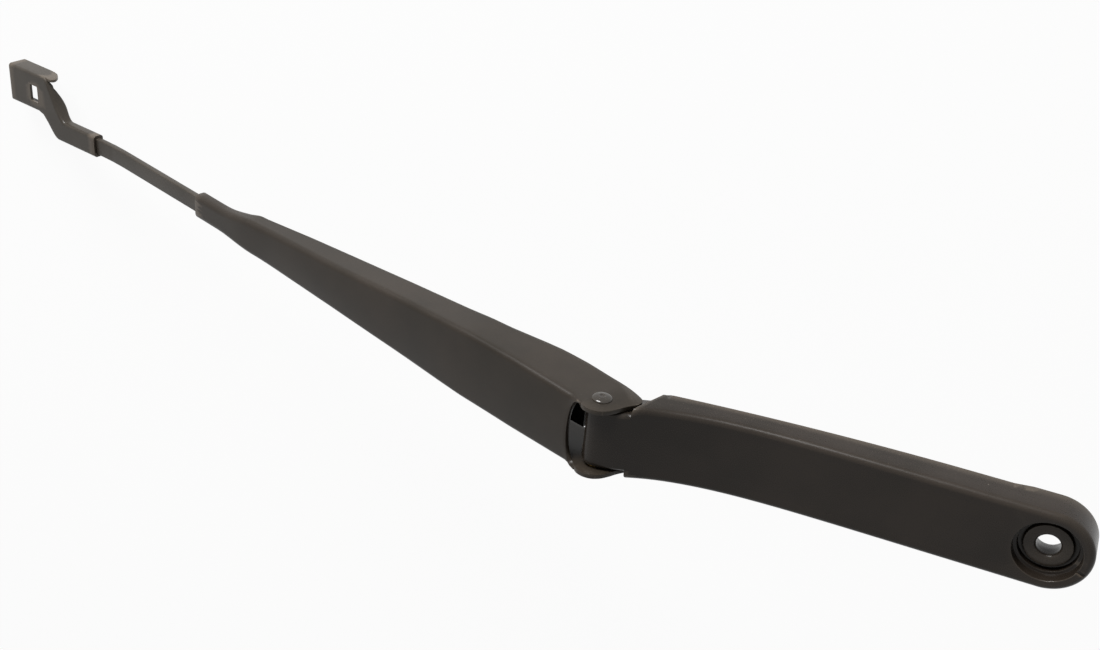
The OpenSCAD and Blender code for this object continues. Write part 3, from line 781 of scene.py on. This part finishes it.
def flat_bar():
    tail_u = 88.5
    tail_deg = math.degrees(math.atan2(BAR_IN_SLEEVE - 1.2 - BAR_T / 2, 226 - 92))
    tail_tan = math.tan(math.radians(tail_deg))
    rings = [bar_ring(lerp(tail_u, 222, k / 6),
                      BAR_IN_SLEEVE - (226 - lerp(tail_u, 222, k / 6)) * tail_tan, tail_deg) for k in range(7)]
    rings += [bar_ring(230, BAR_IN_SLEEVE, 0), bar_ring(CHANNEL_LEN, BAR_IN_SLEEVE, 0)]
    slope = math.tan(math.radians(BAR_DEG))
    rings += [bar_ring(lerp(CHANNEL_LEN + 3, BEND_U - 9, k / 5),
                       BAR_IN_SLEEVE + (lerp(3, BEND_U - 9 - CHANNEL_LEN, k / 5)) * slope, BAR_DEG)
              for k in range(6)]
    # The bend, a long soft one, on a circle that leaves one line and meets the other
    for k in range(1, 8):
        t = k / 8
        d = lerp(-8, 8, t)
        blend = lerp(BAR_DEG, RISE_DEG, ease(t))
        u0, w0 = BEND_U + d, BEND_W + d * math.tan(math.radians(BAR_DEG if d < 0 else RISE_DEG))
        rings.append(bar_ring(u0, w0 + 0.25 * (1 - (2 * t - 1) ** 2) ** 2, blend))
    for k in range(5):
        u, w = on_bar(lerp(9, GRIP_LEN + 9, k / 4))
        rings.append(bar_ring(u, w, RISE_DEG))
    bm = bmesh.new()
    add_loft(bm, rings)
    piece = new_piece("flat_bar", bm)
    hole = prism("hole", arc(92, 0, 1.4, 0, 360, 24)[:-1], -8, 12, lambda a, b, h: in_arm(a, h, b))
    carve(piece, hole)
    coat_with(piece, TIP_COAT_PAINTED_LIGHTER)
    return piece


bar = flat_bar()
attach(bar, "arm")
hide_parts("blade_bar")


# The blade adapter

PLATE_S = GRIP_LEN + 4
PLATE_END = PLATE_S + PLATE_LEN
GRIP_HALF = BAR_W / 2 + ADAPTER_SHEET + 0.05
GRIP_TALL = BAR_T + 2 * ADAPTER_SHEET + 0.1
ADAPTER_FOLD = 1.5
ADAPTER_CURL = 1.6


def neck_near(s):
    return lerp(GRIP_HALF, -PLATE_IN, ease((s - GRIP_LEN + 3) / 14))


def neck_far(s):
    t = clamp01((s - GRIP_LEN + 10) / 14)
    return -GRIP_HALF - (PLATE_OUT - GRIP_HALF) * t * t * (2 - t)


# Depth of the far side where it runs out towards the plate, as (s, depth): a leaf shape
LEAF_LINE = smooth_line([(GRIP_LEN - 10, GRIP_TALL), (GRIP_LEN - 7, GRIP_TALL + 0.4),
                         (GRIP_LEN - 4, GRIP_TALL + 1.1),
                         (GRIP_LEN - 2, GRIP_TALL + 0.6), (GRIP_LEN, GRIP_TALL - 0.9), (GRIP_LEN + 1.8, 3.1),
                         (PLATE_S - 0.8, 1.9), (PLATE_S, 1.8)], 6)


def side_depth(s, near):
    """How far the adapter's side hangs below its top."""
    if near:
        return lerp(GRIP_TALL, PLATE_SIDE, ease((s - GRIP_LEN + 2) / 10))
    if s > PLATE_S + 0.3:
        return table_at([(PLATE_S + 0.9, 9.8), (PLATE_S + 3, 10.5), (PLATE_S + 5.9, PLATE_SIDE + 1.7)], s)
    return table_at(LEAF_LINE, s)


def adapter_edge(s, near):
    """Half of the adapter's section as (distance in from its edge, n), from the lip's end to the web."""
    depth = side_depth(s, near)
    lip = lerp(GRIP_HALF - 0.4, 0.4, ease((s - GRIP_LEN + 1) / 3))
    curl = min(math.pi / 2, lip / ADAPTER_CURL)
    straight = max(0.0, lip - ADAPTER_CURL * math.pi / 2)
    r = ADAPTER_CURL if depth > ADAPTER_CURL + ADAPTER_FOLD + 0.2 else 0.2
    foot = (r, r - depth)
    end = (foot[0] - r * math.cos(curl), foot[1] - r * math.sin(curl))
    points = [(end[0] + straight * (1 - k / 3) + 0.02 * (3 - k) * math.sin(curl),
               end[1] - 0.02 * (3 - k) * math.cos(curl)) for k in range(3)]
    points += [(foot[0] - r * math.cos(a), foot[1] - r * math.sin(a))
               for a in [curl * (1 - k / 4) for k in range(4)]]
    fold = min(ADAPTER_FOLD, depth - r - 0.1)
    points += [(0.0, lerp(foot[1], -fold, k / 3)) for k in range(3)]
    points += [(fold - x, n) for x, n in arc(0, -fold, fold, 0, 90, 6)]
    return points


def adapter_direction(edge, s):
    """Unit vector square to the neck's edge in plan, pointing in to the web."""
    slope = (edge(s + 0.05) - edge(s - 0.05)) / 0.1
    length = math.hypot(1, slope)
    return (-slope / length, 1 / length)


def blade_adapter():
    gap_row = PLATE_S + 0.2
    stations = [lerp(0, GRIP_LEN - 10, k / 8) for k in range(9)]
    stations += [lerp(GRIP_LEN - 10, PLATE_S - 1.2, k / 24) for k in range(1, 25)]
    stations += [PLATE_S - 0.6, gap_row, PLATE_S + 0.9] + [lerp(PLATE_S + 0.9, PLATE_END - 1.4, k / 8)
                for k in range(1, 9)]
    stations += [PLATE_END]
    bm = bmesh.new()
    rows, far_side = [], len(adapter_edge(0, False)) - 6
    for s in stations:
        near_turn = adapter_direction(neck_near, s) if s < GRIP_LEN + 14 else (0, 1)
        # Towards the plate the far edge's fold turns square to the plate again, so its rows never cross
        square = adapter_direction(neck_far, s) if s < PLATE_S - 0.6 else (0, 1)
        fade = clamp01((PLATE_S - 0.6 - s) / 5)
        far_turn = (square[0] * fade, lerp(1, square[1], fade))
        far_y, near_y = (neck_far(s) if s < PLATE_S else -PLATE_OUT), neck_near(s)
        far = [(s + d * far_turn[0], far_y + d * far_turn[1], n) for d, n in adapter_edge(s, False)]
        near = [(s - d * near_turn[0], near_y - d * near_turn[1], n) for d, n in adapter_edge(s, True)]
        a, b = Vector(far[-1]), Vector(near[-1])
        middle = [tuple(a.lerp(b, k / 8)) for k in range(1, 8)]
        rows.append([in_adapter(x, n, y) for x, y, n in far + middle + near[::-1]])
    gap = stations.index(gap_row)
    grid = add_sheet(bm, rows, lambda i, j: i == gap and j < far_side)
    # The far side's inner end, a rounded flap that reaches back past the relief notch
    start = PLATE_S + 0.9
    flap = [(start - 0.4, -1.3), (start - 2.6, -0.9), (start - 4.5, -1.2), (start - 5.4, -2.3),
            (start - 5.3, -3.6), (start - 4.5, -4.9), (start - 3.3, -6.3), (start - 2.0, -7.4), (start - 0.6, -8.15)]
    verts = [bm.verts.new(in_adapter(s, n, -PLATE_OUT)) for s, n in smooth_line(flap, 4)]
    # From the end of the lip's curl up
    edge = grid[gap + 1][7:far_side]
    bm.faces.new(verts + edge)
    piece = new_piece("blade_adapter", bm)
    point_outwards(piece, in_adapter(PLATE_S + 12, 30, -16))
    thicken(piece, ADAPTER_SHEET, 0.3)
    settle(piece)
    window = rounded_box(PLATE_S + 7.2, PLATE_S + 13.2, -19.5, -10.5, 0.7)
    cutter = prism("window", window, -4, 4, lambda s, y, n: in_adapter(s, n, y))
    carve(piece, cutter)
    ease_edges(piece, 0.15, 2, 60)
    settle(piece)
    coat_with(piece, TIP_COAT_PAINTED_LIGHTER)
    return piece


def rounded_box(x0, x1, y0, y1, r):
    return (arc(x1 - r, y1 - r, r, 0, 90, 5) + arc(x0 + r, y1 - r, r, 90, 180, 5)
            + arc(x0 + r, y0 + r, r, 180, 270, 5) + arc(x1 - r, y0 + r, r, 270, 360, 5))


adapter = blade_adapter()
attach(adapter, "arm")
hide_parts("tip_adapter")


# Rivet, bush, pin, link and spring

def turned(name, profile, centre, steps=64):
    """Closed body of revolution about Y: profile holds (radius, y) from one end to the other."""
    bm = bmesh.new()
    cx, cz = centre
    rings = []
    for r, y in profile:
        rings.append([bm.verts.new((cx + r * math.cos(a), y, cz + r * math.sin(a)))
                      for a in [2 * math.pi * k / steps for k in range(steps)]])
    for one, two in zip(rings, rings[1:]):
        for a in range(steps):
            b = (a + 1) % steps
            bm.faces.new((one[a], one[b], two[b], two[a]))
    bm.faces.new(rings[0])
    bm.faces.new(rings[-1][::-1])
    return new_piece(name, bm)


def rivet():
    """Rivet with low domed heads, each with the punch's dimple in its middle."""
    seat, rise, r = 15.05, 1.4, 3.9
    dome = [(0.25, seat + rise - 0.42), (0.7, seat + rise - 0.36), (1.05, seat + rise - 0.12),
            (1.35, seat + rise - 0.02)]
    dome += [(r * math.sin(a), seat + 0.25 + (rise - 0.25) * math.cos(a))
             for a in [math.radians(d) for d in range(26, 91, 8)]]
    dome += [(r, seat + 0.2), (r - 0.1, seat)]
    profile = [(q, -y) for q, y in dome] + [(3.0, -seat), (3.0, seat)] + dome[::-1]
    piece = turned("hinge_rivet_heads", profile, (HINGE_X, HINGE_Z))
    coat_with(piece, RIVET_COAT)
    return piece


rivet_piece = rivet()
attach(rivet_piece, "arm")
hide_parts("hinge_rivet")


# Width of the link's end in the frame, and as it is drawn here
LINK_TAB = 7.0
LINK_END_W = 11.6


def hooked_link():
    """The spring's link, its end drawn nearly as wide as its bow."""
    bm = bmesh.new()
    bm.from_mesh(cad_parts["spring_link"].data)
    bmesh.ops.scale(bm, vec=(1 / MM,) * 3, verts=bm.verts)
    bmesh.ops.remove_doubles(bm, verts=bm.verts, dist=0.001)
    for v in bm.verts:
        if abs(abs(v.co.y) - LINK_TAB / 2) < 0.05:
            v.co.y *= LINK_END_W / LINK_TAB
    piece = new_piece("hooked_link", bm)
    coat_with(piece, LINK_STEEL)
    return piece


link_piece = hooked_link()
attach(link_piece, "link")
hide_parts("spring_link")


# The spring in its own frame, in millimetres: its line of pull is X, with the link's hole at the origin
WIRE_R = 1.05
COIL_R = 4.8 - WIRE_R
COIL_PITCH = 2 * WIRE_R + 0.12
SPRING_FROM = (19.765, -5.715)
SPRING_TO = (92.0, 1.2)
SPRING_SPAN = math.dist(SPRING_FROM, SPRING_TO)
SPRING_DEG = math.degrees(math.atan2(SPRING_TO[1] - SPRING_FROM[1], SPRING_TO[0] - SPRING_FROM[0]))
SPRING_TURNS = math.floor((SPRING_SPAN - 2 * (COIL_R + 3.2)) / COIL_PITCH - 0.5) + 0.5
SPRING_START = (SPRING_SPAN - SPRING_TURNS * COIL_PITCH) / 2


def hook_line(half):
    """Path of a hook as (x, z): through its hole, round, and back to the first coil."""
    bend, h = WIRE_R + 0.2, half + WIRE_R + 0.15
    line = [(3.4, h), (2.4, h)] + arc(bend, h - bend, bend, 90, 180, 8)
    line += arc(bend, bend - h, bend, 180, 270, 8)
    line = [(x, -z) for x, z in line]
    end = [(bend + 1.4, h), (lerp(bend + 1.4, SPRING_START - 1.6, 0.5), lerp(h, COIL_R, 0.55)),
           (SPRING_START - 1.2, COIL_R), (SPRING_START + WIRE_R * 0.5, COIL_R)]
    return line + smooth_line(end, 5)


def spring_tree():
    """Wound wire: a spiral joined by the two hooks' paths, swept by a round profile."""
    tree = bpy.data.node_groups.new("wound_wire", "GeometryNodeTree")
    sockets = {}
    for label, kind in (("Hook paths", "Geometry"), ("Wire radius", "Float"), ("Coil radius", "Float"),
                        ("Turns", "Float"), ("Coil length", "Float"), ("Coil start", "Float")):
        item = tree.interface.new_socket(label, in_out="INPUT", socket_type="NodeSocket" + kind)
        sockets[label] = item.identifier
    tree.interface.new_socket("Wire", in_out="OUTPUT", socket_type="NodeSocketGeometry")
    given = add_node(tree, "NodeGroupInput").outputs
    coil = add_node(tree, "GeometryNodeCurveSpiral", {"Resolution": 20, "Rotations": given["Turns"],
                                                      "Start Radius": given["Coil radius"],
                                                      "End Radius": given["Coil radius"],
                                                      "Height": given["Coil length"]})
    shift = add_node(tree, "ShaderNodeCombineXYZ", {"X": given["Coil start"]}).outputs["Vector"]
    laid = add_node(tree, "GeometryNodeTransform", {"Geometry": coil.outputs["Curve"], "Translation": shift,
                                                    "Rotation": (math.pi, -math.pi / 2, 0)})
    hooks = add_node(tree, "GeometryNodeMeshToCurve", {"Mesh": given["Hook paths"]})
    paths = add_node(tree, "GeometryNodeJoinGeometry")
    tree.links.new(laid.outputs["Geometry"], paths.inputs["Geometry"])
    tree.links.new(hooks.outputs["Curve"], paths.inputs["Geometry"])
    profile = add_node(tree, "GeometryNodeCurvePrimitiveCircle",
                       {"Resolution": 12, "Radius": given["Wire radius"]})
    tube = add_node(tree, "GeometryNodeCurveToMesh", {"Curve": paths.outputs["Geometry"],
                                                      "Profile Curve": profile.outputs["Curve"],
                                                      "Fill Caps": True})
    real = add_node(tree, "GeometryNodeRealizeInstances", {"Geometry": tube.outputs["Mesh"]})
    coated = add_node(tree, "GeometryNodeSetMaterial",
                      {"Geometry": real.outputs["Geometry"], "Material": WIRE_ZINC})
    add_node(tree, "NodeGroupOutput", {"Wire": coated.outputs["Geometry"]})
    return tree, sockets


def wound_spring():
    bm = bmesh.new()
    near = [(x, 0, z) for x, z in hook_line(1.7)]
    far = [(SPRING_SPAN - x, 0, -z) for x, z in hook_line(1.8)]
    for line in (near, far):
        verts = [bm.verts.new(Vector(p) * MM) for p in line]
        for one, two in zip(verts, verts[1:]):
            bm.edges.new((one, two))
    mesh = bpy.data.meshes.new("wound_spring")
    bm.to_mesh(mesh)
    bm.free()
    piece = bpy.data.objects.new("wound_spring", mesh)
    bpy.context.scene.collection.objects.link(piece)
    tree, sockets = spring_tree()
    winding = piece.modifiers.new("Winding", "NODES")
    winding.node_group = tree
    sizes = {"Wire radius": WIRE_R * MM, "Coil radius": COIL_R * MM, "Turns": SPRING_TURNS,
             "Coil length": SPRING_TURNS * COIL_PITCH * MM, "Coil start": SPRING_START * MM}
    for label, value in sizes.items():
        winding[sockets[label]] = value
    settle(piece, 50)
    tilt = Matrix.Rotation(math.radians(FOLD_DEG - SPRING_DEG), 4, "Y")
    piece.data.transform(Matrix.Translation(Vector(in_arm(SPRING_FROM[0], SPRING_FROM[1], 0)) * MM) @ tilt)
    return piece


spring = wound_spring()
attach(spring, "spring")
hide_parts("tension_spring")

for node, material in (("hinge_bush", BUSH_BRASS), ("link_pin", PIN_STEEL)):
    coat_with(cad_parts[node], material)


# Floor, light and camera

# Share of plain white in what the camera sees of the floor, and the room's light
FLOOR_WHITE = 0.94
ROOM_LIGHT = 0.14

def seen_as_white(tree):
    """1 for camera, glossy and transmission rays, which see the backdrop as white, else 0."""
    eye = add_node(tree, "ShaderNodeLightPath").outputs
    mirrored = add_node(tree, "ShaderNodeMath", {0: eye["Is Glossy Ray"], 1: eye["Is Transmission Ray"]},
                        operation="MAXIMUM")
    seen = add_node(tree, "ShaderNodeMath", {0: eye["Is Camera Ray"], 1: mirrored.outputs["Value"]},
                    operation="MAXIMUM")
    return seen.outputs["Value"]


def stage_floor():
    """Pale floor under the arm, wide enough to fill the view."""
    low = min(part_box(n)[0].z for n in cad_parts)
    size = 6.0
    mesh = bpy.data.meshes.new("floor")
    mesh.from_pydata([(-size, -size, low - 0.001), (size, -size, low - 0.001), (size, size, low - 0.001),
                      (-size, size, low - 0.001)], [], [(0, 1, 2, 3)])
    floor = bpy.data.objects.new("floor", mesh)
    bpy.context.scene.collection.objects.link(floor)
    material = bpy.data.materials.new("floor_paper")
    material.use_nodes = True
    tree = material.node_tree
    tree.nodes.clear()
    paper = add_node(tree, "ShaderNodeBsdfDiffuse", {"Color": srgb("#eeeeec")}).outputs["BSDF"]
    glow = add_node(tree, "ShaderNodeEmission", {"Color": (1, 1, 1, 1), "Strength": 1.0}).outputs["Emission"]
    share = add_node(tree, "ShaderNodeMath",
                     {0: seen_as_white(tree), 1: FLOOR_WHITE}, operation="MULTIPLY").outputs["Value"]
    blend = add_node(tree, "ShaderNodeMixShader", {"Fac": share, 1: paper, 2: glow}).outputs["Shader"]
    add_node(tree, "ShaderNodeOutputMaterial", {"Surface": blend})
    floor.data.materials.append(material)


def soft_light(name, place, target, size, power):
    data = bpy.data.lights.new(name, "AREA")
    data.shape = "DISK"
    data.size = size
    data.energy = power
    lamp = bpy.data.objects.new(name, data)
    bpy.context.scene.collection.objects.link(lamp)
    lamp.location = place
    lamp.rotation_euler = (Vector(target) - Vector(place)).to_track_quat("-Z", "Y").to_euler()


def studio_light():
    middle = (0.25, 0.0, 0.0)
    soft_light("key", (0.7, -1.5, 0.42), middle, 0.8, 42)
    soft_light("fill", (0.9, 0.4, 1.3), middle, 1.0, 1)
    world = bpy.data.worlds.new("studio")
    bpy.context.scene.world = world
    world.use_nodes = True
    tree = world.node_tree
    tree.nodes.clear()
    seen = seen_as_white(tree)
    room = add_node(tree, "ShaderNodeBackground",
                    {"Color": (1, 1, 1, 1), "Strength": ROOM_LIGHT}).outputs["Background"]
    white = add_node(tree, "ShaderNodeBackground",
                     {"Color": (1, 1, 1, 1), "Strength": 1.0}).outputs["Background"]
    both = add_node(tree, "ShaderNodeMixShader", {"Fac": seen, 1: room, 2: white}).outputs["Shader"]
    add_node(tree, "ShaderNodeOutputWorld", {"Surface": both})


def photo_camera():
    """Camera of the photograph: place and directions were worked out from the arm's own sizes."""
    right = Vector((-0.9178, -0.0788, -0.3891))
    down = Vector((-0.2565, 0.8658, 0.4297))
    view = right.cross(down)
    down = view.cross(right)
    columns = [v.normalized() for v in (right, -down, -view)]
    data = bpy.data.cameras.new("photo_camera")
    data.sensor_width = 36.0
    data.lens = 1450 / 1100 * 36
    camera = bpy.data.objects.new("photo_camera", data)
    bpy.context.scene.collection.objects.link(camera)
    turned_to = Matrix(columns).transposed().to_4x4()
    camera.matrix_world = Matrix.Translation(Vector((26.0, -303.0, 442.2 + BORE_TO_LIP)) * MM) @ turned_to
    bpy.context.scene.camera = camera


stage_floor()
studio_light()
photo_camera()
bpy.context.scene.view_settings.view_transform = "Standard"
